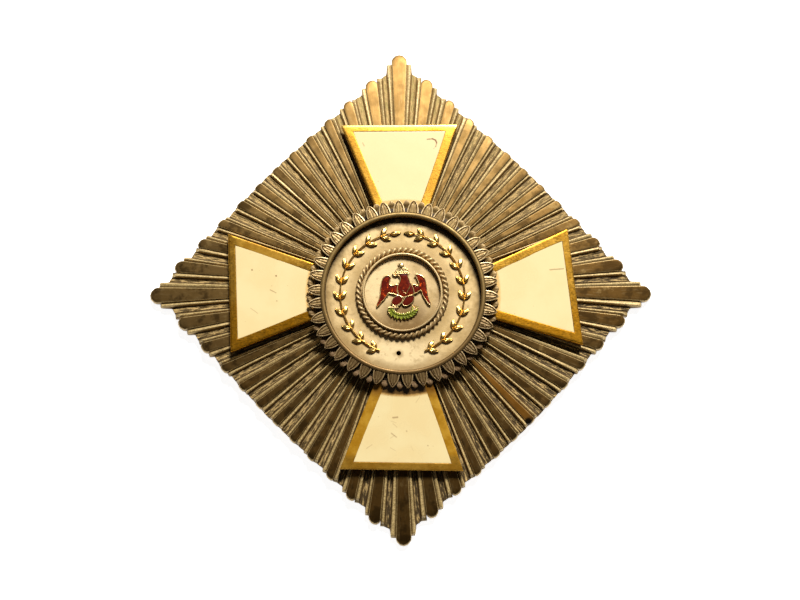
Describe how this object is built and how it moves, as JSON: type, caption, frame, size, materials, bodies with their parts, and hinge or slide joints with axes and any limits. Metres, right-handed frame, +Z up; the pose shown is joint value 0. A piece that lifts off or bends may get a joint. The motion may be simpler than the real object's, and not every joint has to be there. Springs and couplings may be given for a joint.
{
  "type": "order insignia star",
  "caption": "Breast star of an order: a vaulted rhomb star of ribbed rays under a white enamelled cross, with a leaf-edged round medallion, an enamelled bird and a back pin.",
  "frame": {"origin": "middle of the base: the floor under the middle of the star, which lies face up", "axes": "+Z up, out of the star's face; +Y towards the star's top point; +X to the right seen from the front"},
  "size_m": [0.0654, 0.0652, 0.0048],
  "materials": {
    "silver_rays": "tarnished silver, satin",
    "silver_trim": "tarnished silver, polished edges",
    "silver_disc": "matt silver",
    "gilt": "worn gilding",
    "enamel_white": "glossy",
    "enamel_red": "glossy",
    "enamel_green": "glossy",
    "pin": "satin"
  },
  "bodies": {
    "root": {"star_plate": "silver_rays", "arm_top": "gilt", "arm_right": "gilt", "arm_bottom": "gilt", "arm_left": "gilt", "enamel_top": "enamel_white", "enamel_right": "enamel_white", "enamel_bottom": "enamel_white", "enamel_left": "enamel_white", "bezel": "silver_trim", "leaf_collar": "silver_trim", "medallion_disc": "silver_disc", "laurel_left": "gilt", "laurel_right": "gilt", "rope_ring": "silver_trim", "inner_lip": "silver_trim", "centre_disc": "silver_disc", "eagle": "gilt", "eagle_enamel": "enamel_red", "wreath": "enamel_green", "back_pin": "pin"}
  },
  "joints": []
}
